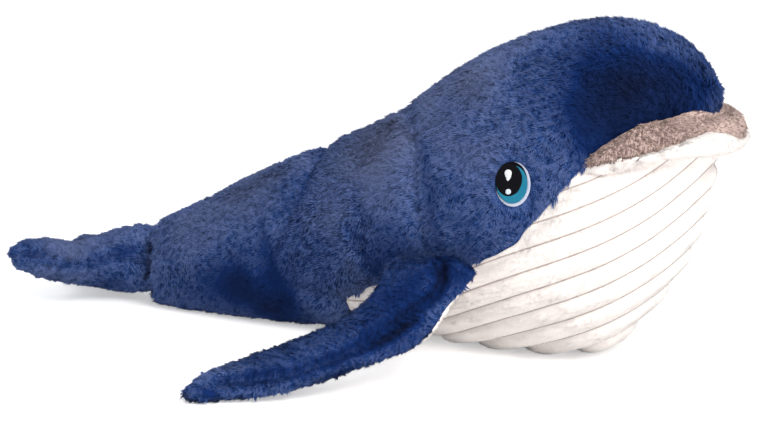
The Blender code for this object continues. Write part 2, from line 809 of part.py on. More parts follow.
def fluke():
    axis = fluke_axis()
    radius = FLUKE_ROOT_HEIGHT / 2
    root_half = FLUKE_ROOT_WIDTH / 2
    hinge = add_hinge("fluke_hinge", axis)

    def spot(row_part, column_part):
        across = 2 * column_part - 1
        width = abs(across)
        lead, trail = eased(FLUKE_EDGE_SHARES, width)
        y = across * FLUKE_SPAN / 2
        near_root = max(0.0, 1 - (y / root_half) ** 2) ** 0.5
        ball = radius * near_root
        start = -lead * FLUKE_LENGTH + ball
        end = -trail * FLUKE_LENGTH
        x = between(start, end, row_part)
        chord_part = row_part
        leaf = FLUKE_THICKNESS / 2 * (4 * chord_part * (1 - chord_part)) ** 0.5 * (1 - width**3) ** 0.4
        if x > 0:
            half = max(0.0, ball**2 - x**2) ** 0.5
        else:
            fade = min(1.0, -x / FLUKE_LENGTH * 1.6)
            half = between(ball, leaf, fade * fade * (3 - 2 * fade)) if ball > 0 else leaf
            half = max(half, min(leaf, -x))
        rise = FLUKE_LIFT * (max(0.0, -x) / FLUKE_LENGTH) ** 1.5
        roll = math.tan(math.radians(FLUKE_ROLL)) * min(1.0, max(0.0, -x) / radius)
        point = axis + Vector((x, y, rise - y * roll))
        return point, Vector((0, 0, 1)), half

    pillow(("fluke_top", "fluke_under", "fluke_filling"), ("blue_pile", "blue_pile", "filling"), 7, 12, spot,
           FLUKE_FABRIC, hinge)


# The embroidered eyes


def eye_frame(side):
    along, level = EYE_PLACE_SHARES
    place = row_at(along)
    return place, side * turn_at(place, level * BODY_HEIGHT)


def eye_spot(side, ahead, rise):
    """The spot of the form that lies that far ahead of the eye's middle and above it."""
    place, turn = eye_frame(side)
    centre = on_form(place, turn)
    along = (centre.x + ahead + TAIL_SETBACK) / BODY_LENGTH
    spot = row_at(along)
    return spot, side * turn_at(spot, centre.z + rise)


def eye_plate(side, oval, low, high):
    """A thin oval of thread between two heights over the form."""
    shift, lift, width, height = oval
    slant = math.radians(EYE_TURN)
    corners = 14
    shape = bmesh.new()
    sheets = []
    for level in (low, high):
        rings = []
        for size in (1.0, 0.5):
            ring = []
            for corner in range(corners):
                angle = math.tau * corner / corners
                ahead = shift * EYE_WIDTH + size * width * EYE_WIDTH / 2 * math.cos(angle)
                rise = lift * EYE_HEIGHT + size * height * EYE_HEIGHT / 2 * math.sin(angle)
                ahead, rise = (
                    ahead * math.cos(slant) - rise * math.sin(slant), ahead * math.sin(slant) + rise * math.cos(slant)
                )
                ring.append(shape.verts.new(on_form(*eye_spot(side, ahead, rise), -level)))
            rings.append(ring)
        sheets.append(rings)
    for rings in sheets:
        for corner in range(corners):
            after = (corner + 1) % corners
            shape.faces.new((rings[0][corner], rings[0][after], rings[1][after], rings[1][corner]))
        shape.faces.new(rings[1])
    for corner in range(corners):
        after = (corner + 1) % corners
        shape.faces.new((sheets[0][0][corner], sheets[0][0][after], sheets[1][0][after], sheets[1][0][corner]))
    return shape


def eye(side, word, head):
    """A socket in the pile, and the eye's threads laid one over the other in it."""
    margin = 2 * EYE_SOCKET_MARGIN
    oval = (0.0, 0.0, 1 + margin / EYE_WIDTH, 1 + margin / EYE_HEIGHT)
    cutter = add_solid(word + "_eye_socket_cutter", eye_plate(side, oval, -EYE_SOCKET, CUT_OVERRUN), "white_thread")
    cutter.hide_render = True
    cutter.display_type = "WIRE"
    cut = head.modifiers.new(word + "_eye_socket", "BOOLEAN")
    cut.operation = "DIFFERENCE"
    cut.object = cutter
    level = GAP - EYE_SOCKET
    surfaces = {"white": "white_thread", "lash": "black_thread", "iris": "teal_thread", "pupil": "black_thread"}
    for layer, oval in EYE_LAYER_SHARES.items():
        shape = eye_plate(side, oval, level, level + THREAD)
        add_solid(word + "_eye_" + layer, shape, surfaces[layer])
        level += THREAD + GAP
    for layer, oval in GLINT_SHARES.items():
        add_solid(word + "_eye_" + layer, eye_plate(side, oval, level, level + THREAD), "white_thread")


clear_scene()
tail_skin()
body_skin()
head = head_skin()
throat_panel()
body_filling()
lip_piece("lip_lining", True, "taupe_pile")
lip_piece("lip_rim", False, "white_pile")
fin(-1, "right")
fin(1, "left")
fluke()
eye(-1, "right", head)
eye(1, "left", head)
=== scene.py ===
"""A plush whale: a stuffed body of blue pile, a quilted white throat, a rolled lip, two fins and a fluke."""
import math

import bmesh
import bpy
import numpy as np
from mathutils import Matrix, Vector
from mathutils.bvhtree import BVHTree
from mathutils.kdtree import KDTree


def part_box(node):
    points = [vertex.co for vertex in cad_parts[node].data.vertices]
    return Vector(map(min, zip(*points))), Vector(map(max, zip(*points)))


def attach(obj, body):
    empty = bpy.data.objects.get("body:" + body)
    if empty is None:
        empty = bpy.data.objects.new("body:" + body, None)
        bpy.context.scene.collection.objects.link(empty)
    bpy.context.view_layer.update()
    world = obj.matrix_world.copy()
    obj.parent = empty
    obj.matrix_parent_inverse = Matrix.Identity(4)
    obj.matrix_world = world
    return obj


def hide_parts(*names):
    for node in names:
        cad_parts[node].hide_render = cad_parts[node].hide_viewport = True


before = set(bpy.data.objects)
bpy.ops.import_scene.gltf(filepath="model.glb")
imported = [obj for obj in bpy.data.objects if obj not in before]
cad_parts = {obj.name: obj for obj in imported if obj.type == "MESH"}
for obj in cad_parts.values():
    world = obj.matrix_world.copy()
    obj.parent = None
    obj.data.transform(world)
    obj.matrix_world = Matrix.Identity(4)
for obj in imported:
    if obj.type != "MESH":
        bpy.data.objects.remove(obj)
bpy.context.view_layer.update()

# The whale lies on a plain pale floor under soft studio lamps. The camera looks at its right side, from a
# little in front and a little above, through a long lens as product photographs are taken.
scene = bpy.context.scene
scene.view_settings.view_transform = "Standard"

VIEW_TURN = math.radians(20)
VIEW_RISE = math.radians(14)
VIEW_DISTANCE = 1.1
VIEW_MIDDLE = Vector((0.0052, 0.0, 0.058))
LENS = 103.5

toward = Vector((math.sin(VIEW_TURN) * math.cos(VIEW_RISE), -math.cos(VIEW_TURN) * math.cos(VIEW_RISE),
                 math.sin(VIEW_RISE)))
camera = bpy.data.objects.new("camera", bpy.data.cameras.new("camera"))
camera.data.lens = LENS
camera.data.clip_start = 0.01
camera.location = VIEW_MIDDLE + VIEW_DISTANCE * toward
camera.rotation_euler = toward.to_track_quat("Z", "Y").to_euler()
scene.collection.objects.link(camera)
scene.camera = camera


def lamp(name, place, size, power, colour):
    """A soft square lamp that faces the whale."""
    light = bpy.data.lights.new(name, "AREA")
    light.size = size
    light.energy = power
    light.color = colour
    holder = bpy.data.objects.new(name, light)
    holder.location = place
    holder.rotation_euler = (Vector(place) - VIEW_MIDDLE).to_track_quat("Z", "Y").to_euler()
    scene.collection.objects.link(holder)


lamp("key_lamp", (0.75, -0.75, 1.05), 0.7, 17.0, (1.0, 0.98, 0.95))
lamp("top_lamp", (-0.25, 0.25, 1.30), 0.8, 4.0, (0.97, 0.98, 1.0))
lamp("low_lamp", (1.2, -0.45, 0.14), 0.6, 6.0, (1.0, 0.99, 0.98))
lamp("floor_lamp", (0.80, -1.0, 0.05), 0.5, 3.0, (1.0, 0.98, 0.97))
lamp("side_lamp", (-1.0, -0.9, 0.5), 0.8, 3.5, (0.97, 0.98, 1.0))


def add(tree, kind, links=(), **settings):
    """A node of a material. Links are pairs of a socket, by name or number, and its value or the output that
    feeds it."""
    made = tree.nodes.new(kind)
    for key, value in settings.items():
        setattr(made, key, value)
    for socket, value in links:
        if isinstance(value, bpy.types.NodeSocket):
            tree.links.new(value, made.inputs[socket])
        else:
            made.inputs[socket].default_value = value
    return made


def new_material(name):
    """A new material: its node tree and its shader."""
    material = bpy.data.materials.new(name)
    material.use_nodes = True
    tree = material.node_tree
    return material, tree, tree.nodes["Principled BSDF"]


# The backdrop looks brighter than the light that it casts on the whale
BACKDROP_LIGHT = 0.50
world = bpy.data.worlds.new("studio")
world.use_nodes = True
scene.world = world
tree = world.node_tree
back = tree.nodes["Background"]
back.inputs["Color"].default_value = (0.95, 0.97, 1.0, 1)
path = add(tree, "ShaderNodeLightPath")
shown = add(tree, "ShaderNodeMath", [(0, path.outputs["Is Camera Ray"]), (1, path.outputs["Is Glossy Ray"])],
            operation="MAXIMUM")
shown = add(tree, "ShaderNodeMath", [(0, shown.outputs[0]), (1, path.outputs["Is Transmission Ray"])],
            operation="MAXIMUM")
strength = add(tree, "ShaderNodeMapRange", [(0, shown.outputs[0]), ("To Min", BACKDROP_LIGHT),
                                            ("To Max", 1.0)])
tree.links.new(strength.outputs[0], back.inputs["Strength"])

# The floor glows a little, so that it looks as pale as the backdrop
FLOOR_HALF = 6.0
FLOOR_GLOW = 0.40
floor_form = bmesh.new()
bmesh.ops.create_grid(floor_form, x_segments=1, y_segments=1, size=FLOOR_HALF)
floor_mesh = bpy.data.meshes.new("floor")
floor_form.to_mesh(floor_mesh)
floor_form.free()
floor = bpy.data.objects.new("floor", floor_mesh)
scene.collection.objects.link(floor)
material, tree, shader = new_material("pale_floor")
shader.inputs["Base Color"].default_value = (0.90, 0.90, 0.90, 1)
shader.inputs["Roughness"].default_value = 0.9
shader.inputs["Specular IOR Level"].default_value = 0.1
path = add(tree, "ShaderNodeLightPath")
glow = add(tree, "ShaderNodeMath", [(0, path.outputs["Is Camera Ray"]), (1, path.outputs["Is Glossy Ray"])],
           operation="MAXIMUM")
glow = add(tree, "ShaderNodeMath", [(0, glow.outputs[0]), (1, FLOOR_GLOW)], operation="MULTIPLY")
shader.inputs["Emission Color"].default_value = (1, 1, 1, 1)
tree.links.new(glow.outputs[0], shader.inputs["Emission Strength"])
floor_mesh.materials.append(material)

# The stuffed body is one sewn shell of four panels, packed with fibre that rounds every seam. It is shaped
# here in one piece, a little inside the frame's solids, which leaves room for the pile. The panels are then
# cut from it.
PANELS = ("tail_skin", "body_skin", "head_skin", "throat_panel")
SEWN = PANELS + ("body_filling", "lip_lining", "lip_rim")
# The numbers that the faces of the front panels carry
HEAD, THROAT, LIP_TOP, LIP_ROLL = 2, 3, 4, 5
WELD = 0.00001
BODY_GRAIN = 0.0019
BODY_ROUNDS = 14
BLUE_PILE_REACH = 0.0016
SEAM_CLOSING = 0.0007
LIP_FILLET = 0.0028
SEAM_ROUNDS = 8
SEAM_PULL = 0.0024
SEAM_SPREAD = 0.0050
# A groove fades out this many times its spread from its line
GROOVE_END = 3
# The belly's lowest part spreads on the floor, and its cloth leaves room under it for the pile
BELLY_HEIGHT = 0.022
BELLY_SPREAD = 0.0026
CLOTH_LIFT = 0.0012
NOSE = Vector((0.166, 0.0, 0.138))
NOSE_SPREAD = 0.026
NOSE_TUCK = 0.0002
CHIN = Vector((0.177, 0.0, 0.125))
CHIN_SPREAD = 0.014
CHIN_SWELL = 0.0042
CHIN_STRETCH = Vector((1.0, 0.6, 1.0))
# The fold between chin and lip is drawn in beside the chin
CHIN_FOLD = Vector((0.169, 0.027, 0.125))
CHIN_FOLD_MOVE = Vector((-0.0020, -0.0026, -0.0030))
CHIN_FOLD_SPREAD = 0.012
# The tail's lower corner bulges back under the fluke
TAIL_HEEL = Vector((-0.124, 0.0, 0.006))
TAIL_HEEL_SPREAD = 0.014
TAIL_HEEL_PUSH = 0.0050
# The back's pile hangs over the hem of the throat: how far, along the whale's length
HEM_OVERHANG = ((0.060, 0.105), (0.0040, 0.0))
# The lip begins at the mouth's corner. Its three seams, by their height along the whale's length: with the
# head, between taupe and white, and with the throat
MOUTH_CORNER = 0.1248
HEAD_SEAM = (
    (0.1248, 0.1264, 0.1294, 0.1327, 0.1376, 0.1415, 0.145, 0.149, 0.155, 0.161, 0.167, 0.173, 0.178),
    (0.1032, 0.1064, 0.1096, 0.1124, 0.1156, 0.1179, 0.1198, 0.1219, 0.1230, 0.1238, 0.1246, 0.1246, 0.1224),
)
RIM_SEAM = (
    (0.1248, 0.131, 0.138, 0.149, 0.158, 0.168, 0.1750, 0.1795, 0.183, 0.1865, 0.191),
    (0.1028, 0.1046, 0.1073, 0.1106, 0.1133, 0.1166, 0.1180, 0.1172, 0.1158, 0.1130, 0.1090),
)
THROAT_SEAM = (
    (0.1248, 0.131, 0.138, 0.149, 0.158, 0.167, 0.172, 0.178, 0.190),
    (0.1022, 0.1016, 0.1026, 0.1046, 0.1070, 0.1084, 0.1084, 0.1070, 0.1030),
)
# The lip is drawn in under the nose, this far below the head's hem
NOSE_CREASE_DROP = 0.0018
# Folds where the filling is pushed together: two small ones behind the neck, two where the tail begins, and
# the neck's own crease. Each gives its depth, its spread and its line on the right side
FOLDS = (
    (0.0016, 0.004, (0.006, -0.043, 0.076), (0.008, -0.045, 0.071), (0.013, -0.046, 0.066)),
    (0.0016, 0.004, (0.005, -0.046, 0.061), (0.012, -0.047, 0.051), (0.020, -0.048, 0.041)),
    (0.0016, 0.005, (-0.024, -0.005, 0.092), (-0.024, -0.022, 0.086), (-0.026, -0.029, 0.078),
     (-0.030, -0.034, 0.069)),
    (0.0020, 0.005, (-0.046, -0.034, 0.053), (-0.043, -0.036, 0.042), (-0.040, -0.036, 0.031),
     (-0.032, -0.033, 0.018)),
    (0.0012, 0.004, (0.024, -0.012, 0.118), (0.036, -0.038, 0.111), (0.043, -0.048, 0.099),
     (0.047, -0.053, 0.090), (0.048, -0.055, 0.081), (0.052, -0.057, 0.065), (0.056, -0.058, 0.057)),
)


def welded(*names):
    """Copies of the frame's solids in one mesh, their loose triangles joined."""
    form = bmesh.new()
    for name in names:
        form.from_mesh(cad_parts[name].data)
    bmesh.ops.remove_doubles(form, verts=form.verts, dist=WELD)
    return form


def placed(form, name):
    """An object at the origin that holds the mesh."""
    mesh = bpy.data.meshes.new(name)
    form.to_mesh(mesh)
    form.free()
    piece = bpy.data.objects.new(name, mesh)
    scene.collection.objects.link(piece)
    return piece


def remade(form, kind, **settings):
    """The mesh as one of the modifiers leaves it."""
    piece = placed(form, "form")
    modifier = piece.modifiers.new(kind, kind)
    for key, value in settings.items():
        setattr(modifier, key, value)
    bpy.context.view_layer.update()
    made = bmesh.new()
    made.from_mesh(piece.evaluated_get(bpy.context.evaluated_depsgraph_get()).to_mesh())
    bpy.data.objects.remove(piece)
    return made


def swell(form, distance):
    """Moves the whole surface outward."""
    form.normal_update()
    moves = [vert.normal * distance for vert in form.verts]
    for vert, move in zip(form.verts, moves):
        vert.co += move


def ease(form, verts, rounds):
    """Smooths a part of the surface, more with each round."""
    for _ in range(rounds):
        bmesh.ops.smooth_vert(form, verts=verts, factor=0.5, use_axis_x=True, use_axis_y=True,
                              use_axis_z=True)


def stuffed(names, grain, rounds, reach, closing=SEAM_CLOSING):
    """A smooth closed form over the frame's solids, its cloth lying inside them by the pile's reach. It
    bridges the hollows between the solids that are narrower than twice the closing distance."""
    form = welded(*names)
    swell(form, closing)
    form = remade(form, "REMESH", mode="VOXEL", voxel_size=grain)
    ease(form, form.verts, rounds)
    swell(form, -closing - reach)
    return form


def nearest(spots):
    """A search tree over the spots."""
    spots = list(spots)
    tree = KDTree(len(spots))
    for index, spot in enumerate(spots):
        tree.insert(spot, index)
    tree.balance()
    return tree


def along(*lines, step=0.001):
    """A search tree over points set closely along the lines."""
    spots = []
    for line in lines:
        for low, high in zip(line, line[1:]):
            low, high = Vector(low), Vector(high)
            count = max(1, round((high - low).length / step))
            spots += [low.lerp(high, part / count) for part in range(count + 1)]
    return nearest(spots)


def mirrored(line, side):
    """The line's points as given on the right side, for side 1, or mirrored to the left, for side -1."""
    return [(x, side * y, z) for x, y, z in line]


def press(form, line, depth, spread, way=None):
    """Presses a rounded groove into the surface along a line of points; a depth below zero raises a ridge."""
    tree = along(line)
    form.normal_update()
    for vert in form.verts:
        away = tree.find(vert.co)[2] / spread
        if away < GROOVE_END:
            vert.co -= (way or vert.normal) * depth * math.exp(-away * away)


def assign_panels(form, names, reach=None):
    """Gives each face the number of the panel that lies nearest. A panel may reach further over its
    neighbours."""
    trees = [BVHTree.FromBMesh(welded(name)) for name in names]
    for face in form.faces:
        middle = face.calc_center_median()
        away = [tree.find_nearest(middle)[3] for tree in trees]
        if reach:
            away = [distance - more for distance, more in zip(away, reach(middle))]
        face.material_index = away.index(min(away))


def draw_seams(form, pull=SEAM_PULL, spread=SEAM_SPREAD):
    """Draws the seams between numbered panels straight and pulls them in. Gives the seams' search tree."""
    sewn = [edge for edge in form.edges if len({face.material_index for face in edge.link_faces}) > 1]
    beside = {}
    for edge in sewn:
        for vert in edge.verts:
            beside.setdefault(vert, []).append(edge.other_vert(vert))
    for _ in range(SEAM_ROUNDS):
        eased = {vert: sum((other.co for other in others), Vector()) / len(others)
                 for vert, others in beside.items()}
        for vert, spot in eased.items():
            vert.co = vert.co.lerp(spot, 0.5)
    tree = nearest(vert.co.copy() for vert in beside)
    form.normal_update()
    for vert in form.verts:
        away = tree.find(vert.co)[2] / spread
        vert.co -= vert.normal * pull * math.exp(-away * away)
    return tree


def assign_front(form, tuck=0.0):
    """Numbers the faces in front of the mouth's corner, from above: head, taupe lip, white lip and throat."""
    for face in form.faces:
        middle = face.calc_center_median()
        if middle.x > MOUTH_CORNER:
            levels = [np.interp(middle.x, *HEAD_SEAM) + tuck, np.interp(middle.x, *RIM_SEAM),
                      np.interp(middle.x, *THROAT_SEAM) - tuck]
            face.material_index = (HEAD, LIP_TOP, LIP_ROLL, THROAT)[sum(middle.z < level for level in levels)]


def settle(form):
    """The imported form's own weight spreads its belly, and its nose, chin and tail are filled a little
    differently."""
    form.normal_update()
    for vert in form.verts:
        low = max(0.0, 1 - vert.co.z / BELLY_HEIGHT)
        nose = math.exp(-((vert.co - NOSE).length / NOSE_SPREAD) ** 2)
        chin = math.exp(-(((vert.co - CHIN) * CHIN_STRETCH).length / CHIN_SPREAD) ** 2)
        side = Vector((1, math.copysign(1, vert.co.y), 1))
        fold = math.exp(-((vert.co * side - CHIN_FOLD).length / CHIN_FOLD_SPREAD) ** 2)
        vert.co += vert.normal * (BELLY_SPREAD * low - NOSE_TUCK * nose + CHIN_SWELL * chin)
        vert.co += CHIN_FOLD_MOVE * side * fold
        heel = math.exp(-((vert.co - TAIL_HEEL).length / TAIL_HEEL_SPREAD) ** 2)
        vert.co.x -= TAIL_HEEL_PUSH * heel
        vert.co.z = max(vert.co.z, CLOTH_LIFT)


body_form = stuffed(SEWN, BODY_GRAIN, BODY_ROUNDS, BLUE_PILE_REACH, LIP_FILLET)
settle(body_form)
assign_panels(body_form, PANELS, lambda spot: (0, 0, np.interp(spot.x, *HEM_OVERHANG), 0))
assign_front(body_form)
hem = [edge for edge in body_form.edges
       if {face.material_index for face in edge.link_faces} == {HEAD, LIP_TOP}]
nose_hem = nearest(vert.co - Vector((0, 0, NOSE_CREASE_DROP)) for edge in hem for vert in edge.verts)
body_seams = draw_seams(body_form)
fold_lines = []
for depth, spread, *fold in FOLDS:
    for side in (1, -1):
        line = mirrored(fold, side)
        press(body_form, line, depth, spread)
        fold_lines.append(line)

# The blue plush of the back: tail, body and head panels. The pile is long, dense and combed toward the tail,
# in locks that lean on each other. Its colour runs from deep navy at the roots, painted shade among them, to
# a lilac grey at the tips, painted light on them.
BLUE_LIE = (-1.0, 0.0, -0.55)
PILE_LEAN = 1.5
BLUE_LOCK = 0.0026
BLUE_SEED = 20
# Painted shade along the folds: how dark, and how wide
FOLD_SHADE = 0.45
FOLD_SPREAD = 0.0042
# Places painted paler or darker, on the right side and mirrored on the left, with their size and shade:
# partly the pile's own brushing, and partly painted light and shade, paler on the lit back and darker on the
# undersides and round the fins' roots. Below zero shade is painted, and over zero light is painted
BRUSHING_AND_PAINTED_LIGHT = (
    (0.150, 0.040, 0.130, 0.034, -0.75),
    (0.166, 0.020, 0.140, 0.022, -0.30),
    (0.120, 0.050, 0.120, 0.022, -0.35),
    (0.060, 0.030, 0.140, 0.032, 0.45),
    (0.075, 0.055, 0.100, 0.020, 0.35),
    (0.010, 0.030, 0.100, 0.034, 0.95),
    (0.030, 0.052, 0.050, 0.020, -0.45),
    (-0.060, 0.031, 0.024, 0.024, -0.95),
    (-0.035, 0.030, 0.012, 0.016, -0.7),
    (-0.075, 0.024, 0.050, 0.030, 0.45),
    (-0.155, 0.022, 0.036, 0.028, 0.45),
    (0.045, 0.085, 0.045, 0.028, -0.95),
    (0.005, 0.122, 0.022, 0.024, -0.45),
    (-0.030, 0.136, 0.010, 0.014, 0.45),
    (0.100, 0.062, 0.080, 0.018, -0.35),
    (0.120, 0.020, 0.160, 0.034, -0.42),
    (-0.145, 0.016, 0.015, 0.018, -0.6),
    (0.022, 0.116, 0.022, 0.022, -0.3),
    (0.125, 0.045, 0.130, 0.030, -0.35),
    (0.076, 0.074, 0.056, 0.014, -0.7),
)
BACKING = 0.001
PANEL_CUTS = 1
PANEL_ROUNDS = 3
# How far the pile's way turns aside in broad and in fine swirls, and how wide these are
BROAD_TURN = 0.45
BROAD_SWIRL = 0.030
FINE_TURN = 0.35
FINE_SWIRL = 0.009
# Parts of the pile's length: how it differs from lock to lock and from tip to tip, how far tips close up to
# their lock, and how far they scatter
LOCK_LENGTH = 0.22
TIP_LENGTH = 0.20
LOCK_GATHER = 0.22
TIP_SCATTER = 0.14
PILE_LIFT = 0.0003
WAVES = 24
WAVE_TURN = 2.4
WAVE_SUM = 3.5


def cut_panel(form, number, thickness=BACKING):
    """One panel of the form, its faces divided in four, and its backing cloth, whose faces are numbered 1."""
    panel = form.copy()
    others = [face for face in panel.faces if face.material_index != number]
    bmesh.ops.delete(panel, geom=others, context="FACES")
    panel.normal_update()
    outer = panel.faces[:]
    inward = {vert.co.to_tuple(7): -vert.normal * thickness for vert in panel.verts}
    made = bmesh.ops.extrude_face_region(panel, geom=outer, use_keep_orig=True)["geom"]
    for vert in made:
        if isinstance(vert, bmesh.types.BMVert):
            vert.co += inward[vert.co.to_tuple(7)]
    bmesh.ops.reverse_faces(panel, faces=panel.faces)
    outer = set(outer)
    for face in panel.faces:
        face.material_index = 0 if face in outer else 1
    edges = {edge for face in outer for edge in face.edges}
    bmesh.ops.subdivide_edges(panel, edges=list(edges), cuts=PANEL_CUTS, use_grid_fill=True)
    soft = [vert for vert in panel.verts if all(face.material_index == 0 for face in vert.link_faces)]
    ease(panel, soft, PANEL_ROUNDS)
    return panel


def wander(spots, size, seed):
    """Smooth ups and downs over the spots, each about as wide as the size given, and their slope."""
    dice = np.random.default_rng(seed)
    waves = dice.normal(size=(WAVES, 3)) * WAVE_TURN / size
    turns = spots @ waves.T + dice.uniform(0, math.tau, WAVES)
    return np.cos(turns).sum(1) / WAVE_SUM, -np.sin(turns) @ waves / WAVE_SUM


def pile(cloth, reach, lie, lean, lock, seed, share=None, part=None):
    """Pile over the outer side of a panel: each small face rises to a tip that leans the way of the pile."""
    outer = [face for face in cloth.faces if face.material_index == 0]
    outer = bmesh.ops.triangulate(cloth, faces=outer)["faces"]
    roots = len(cloth.verts)
    tips = bmesh.ops.poke(cloth, faces=outer)["verts"]
    cloth.normal_update()
    normals = [vert.normal.to_tuple() for vert in cloth.verts]
    spots = np.array([vert.co for vert in tips])
    up = np.array([vert.normal for vert in tips])
    dice = np.random.default_rng(seed)
    comb = np.tile(np.array(lie, float), (len(spots), 1))
    if part is not None:
        comb = comb + part(spots)
    comb -= up * (comb * up).sum(1, keepdims=True)
    comb /= np.linalg.norm(comb, axis=1, keepdims=True) + 1e-9
    across = np.cross(up, comb)
    swirl = (BROAD_TURN * wander(spots, BROAD_SWIRL, seed)[0]
             + FINE_TURN * wander(spots, FINE_SWIRL, seed + 1)[0])
    comb = comb * np.cos(swirl)[:, None] + across * np.sin(swirl)[:, None]
    fullness, slope = wander(spots, lock, seed + 2)
    slope -= up * (slope * up).sum(1, keepdims=True)
    length = reach * (1.0 if share is None else share(spots))
    length = length * (1 + LOCK_LENGTH * fullness + dice.uniform(-TIP_LENGTH, TIP_LENGTH, len(spots)))
    moved = (spots + up * length[:, None] + comb * (length * lean)[:, None]
             + slope * (length * lock * LOCK_GATHER)[:, None]
             + dice.normal(size=spots.shape) * (length * TIP_SCATTER)[:, None])
    moved[:, 2] = np.maximum(moved[:, 2], PILE_LIFT)
    for vert, spot in zip(tips, moved):
        vert.co = spot
    return normals, roots


def pile_piece(cloth, name, material, *settings, crease_shade=None, brushing_and_light_places=BRUSHING_AND_PAINTED_LIGHT, **more):
    """The finished panel: its pile's tips marked, so that they can take a lighter colour than the roots, and
    the places where the pile's brushing and painted light make it paler and painted shade makes it darker.
    Along the creases shade is painted."""
    normals, roots = pile(cloth, *settings, **more)
    piece = placed(cloth, name)
    mesh = piece.data
    mesh.materials.append(material)
    mesh.polygons.foreach_set("material_index", np.zeros(len(mesh.polygons), int))
    spots = np.array([vert.co for vert in mesh.vertices])
    # The pile's brushing with painted light and painted shade, summed from the table of places
    brushing_and_painted_light = np.zeros(len(spots))
    for x, y, z, size, shade in brushing_and_light_places:
        away = (spots[:, 0] - x) ** 2 + (abs(spots[:, 1]) - y) ** 2 + (spots[:, 2] - z) ** 2
        brushing_and_painted_light += shade * np.exp(-away / size ** 2)
    # Painted shade along the creases, darkest on their line
    if crease_shade:
        tree, shade, spread = crease_shade
        away = np.array([tree.find(spot)[2] for spot in spots])
        brushing_and_painted_light -= shade * np.exp(-(away / spread) ** 2)
    mesh.attributes.new("brushing_and_painted_light", "FLOAT", "POINT").data.foreach_set("value", brushing_and_painted_light.astype(np.float32))
    tip = mesh.attributes.new("tip", "FLOAT", "POINT")
    tip.data.foreach_set("value", (np.arange(len(mesh.vertices)) >= roots).astype(np.float32))
    mesh.polygons.foreach_set("use_smooth", np.ones(len(mesh.polygons), bool))
    mesh.normals_split_custom_set_from_vertices(normals)
    return piece


def plush(name, deep, middle, light, warm, shade, sheen, locks=290.0, relief=0.50):
    """Pile that darkens toward its roots, as painted shade, with random pale and dark patches; paler where
    its brushing and painted light lie, darker where shade is painted, and darkest in painted creases.
    """
    material, tree, shader = new_material(name)
    place = add(tree, "ShaderNodeTexCoord").outputs["Object"]
    tip = add(tree, "ShaderNodeAttribute", attribute_name="tip").outputs["Fac"]
    broad = add(tree, "ShaderNodeTexNoise", [("Vector", place), ("Scale", 16.0), ("Detail", 3.0),
                                             ("Roughness", 0.6)])
    lock = add(tree, "ShaderNodeTexNoise", [("Vector", place), ("Scale", locks), ("Detail", 3.0),
                                            ("Roughness", 0.7)])
    strand = add(tree, "ShaderNodeTexNoise", [("Vector", place), ("Scale", 1300.0), ("Detail", 1.0)])
    height = add(tree, "ShaderNodeMapRange", [(0, lock.outputs["Fac"]), ("From Min", 0.3), ("From Max", 0.7),
                                              ("To Min", -relief), ("To Max", relief)])
    height = add(tree, "ShaderNodeMath", [(0, tip), (1, height.outputs[0])], operation="ADD")
    height = add(tree, "ShaderNodeMath", [(0, strand.outputs["Fac"]), (1, 0.35), (2, height.outputs[0])],
                 operation="MULTIPLY_ADD")
    # From roots to tips the colour runs from dark to pale: painted shade among the roots, painted light on
    # the tips
    ramp = add(tree, "ShaderNodeValToRGB", [(0, height.outputs[0])])
    ramp.color_ramp.elements[0].position = 0.08
    ramp.color_ramp.elements[0].color = deep
    ramp.color_ramp.elements[1].position = 0.96154
    ramp.color_ramp.elements[1].color = light
    ramp.color_ramp.elements.new(0.55).color = middle
    brushing_and_painted_light = add(tree, "ShaderNodeAttribute", attribute_name="brushing_and_painted_light").outputs["Fac"]
    # Random pale and dark patches, with the brushing, painted light and painted shade added: the pale colour
    # stands for painted light, the shade colour for painted shade
    patch = add(tree, "ShaderNodeMapRange", [(0, broad.outputs["Fac"]), ("From Min", 0.30),
                                             ("From Max", 0.70), ("To Min", -0.45), ("To Max", 0.45)])
    patch = add(tree, "ShaderNodeMath", [(0, patch.outputs[0]), (1, brushing_and_painted_light)], operation="ADD")
    pale = add(tree, "ShaderNodeMapRange", [(0, patch.outputs[0]), ("From Min", -0.1), ("From Max", 0.9),
                                            ("To Max", 0.75)])
    blend = add(tree, "ShaderNodeMix", [("Factor", pale.outputs[0]), (6, ramp.outputs[0]), (7, warm)],
                data_type="RGBA")
    dark = add(tree, "ShaderNodeMapRange", [(0, patch.outputs[0]), ("From Min", 0.05), ("From Max", -0.80),
                                            ("To Max", 0.95)])
    blend = add(tree, "ShaderNodeMix", [("Factor", dark.outputs[0]), (6, blend.outputs[2]), (7, shade)],
                data_type="RGBA")
    # Darkest where shade is painted deepest, in creases and hollows
    deepest_painted_shade = add(tree, "ShaderNodeMapRange", [(0, patch.outputs[0]), ("From Min", -0.75), ("From Max", -1.5),
                                           ("To Max", 0.9)])
    deepest_shade_colour = tuple(0.35 * value for value in deep[:3]) + (1,)
    blend = add(tree, "ShaderNodeMix", [("Factor", deepest_painted_shade.outputs[0]), (6, blend.outputs[2]), (7, deepest_shade_colour)],
                data_type="RGBA")
    tree.links.new(blend.outputs[2], shader.inputs["Base Color"])
    bump = add(tree, "ShaderNodeBump", [("Strength", 0.35), ("Distance", 0.0006),
                                        ("Height", strand.outputs["Fac"])])
    tree.links.new(bump.outputs[0], shader.inputs["Normal"])
    rough = add(tree, "ShaderNodeMapRange", [(0, lock.outputs["Fac"]), ("To Min", 0.75), ("To Max", 0.98)])
    tree.links.new(rough.outputs[0], shader.inputs["Roughness"])
    shader.inputs["Specular IOR Level"].default_value = 0.12
    shader.inputs["Sheen Weight"].default_value = sheen
    shader.inputs["Sheen Roughness"].default_value = 0.45
    shader.inputs["Sheen Tint"].default_value = light
    return material


